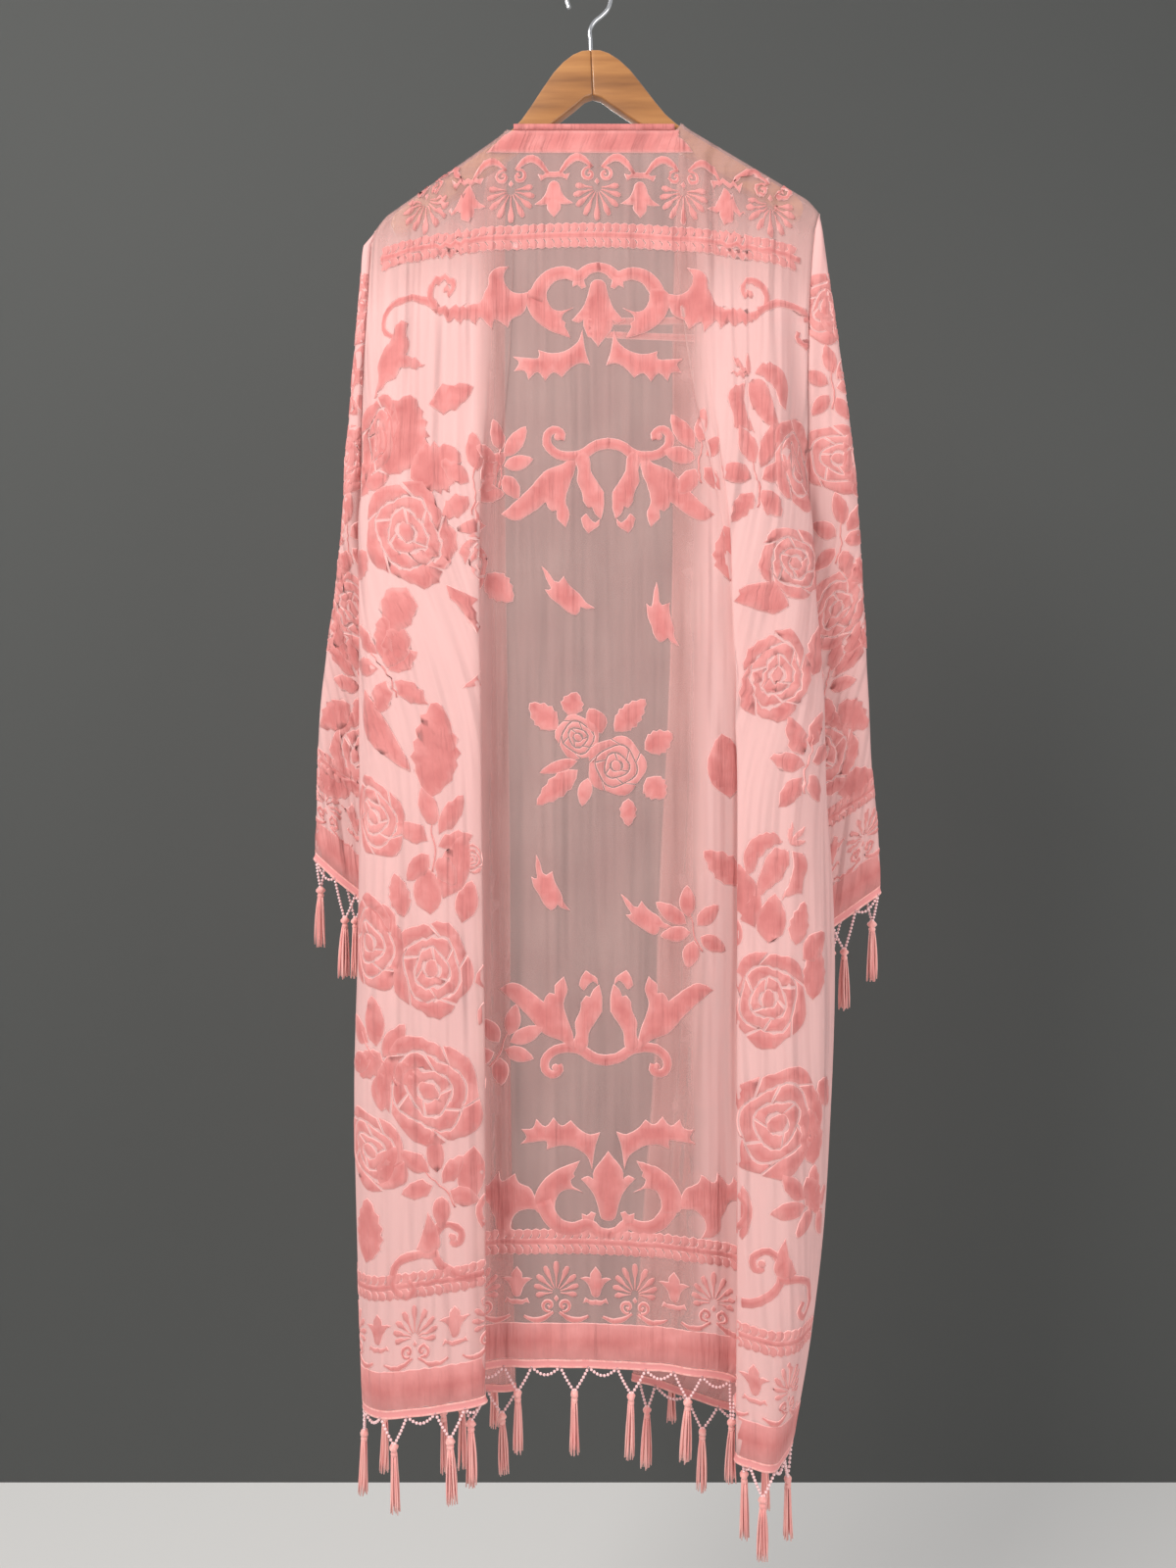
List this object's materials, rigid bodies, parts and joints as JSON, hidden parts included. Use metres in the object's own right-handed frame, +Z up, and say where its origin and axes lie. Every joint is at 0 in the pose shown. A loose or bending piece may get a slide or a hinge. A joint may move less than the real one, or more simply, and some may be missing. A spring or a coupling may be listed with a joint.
{
  "type": "long open jacket on a wooden hanger",
  "caption": "Long open-front jacket in sheer figured velvet with beaded tassel trim, hanging on a wooden clothes hanger, shown from its back.",
  "frame": {"origin": "inner top of the hanger's hook, where the rail carries it", "axes": "+Z up, -Y out of the back of the jacket, +X to the right when its back is looked at"},
  "size_m": [0.5801, 0.1461, 1.5585],
  "materials": {
    "velvet": "sheer ground with raised velvet pile",
    "tassel_thread": "silky thread and ribbon",
    "hanger_wood": "lacquered",
    "hook_steel": "polished wire"
  },
  "bodies": {
    "root": {"hanger_bar": "hanger_wood", "hanger_hook": "hook_steel", "back": "velvet", "front_left": "velvet", "front_right": "velvet", "sleeve_left": "velvet", "sleeve_right": "velvet", "neck_binding": "velvet", "trim_back_hem": "tassel_thread", "trim_hem_left": "tassel_thread", "trim_hem_right": "tassel_thread", "trim_edge_left": "tassel_thread", "trim_edge_right": "tassel_thread", "trim_cuff_left": "tassel_thread", "trim_cuff_right": "tassel_thread"}
  },
  "joints": []
}
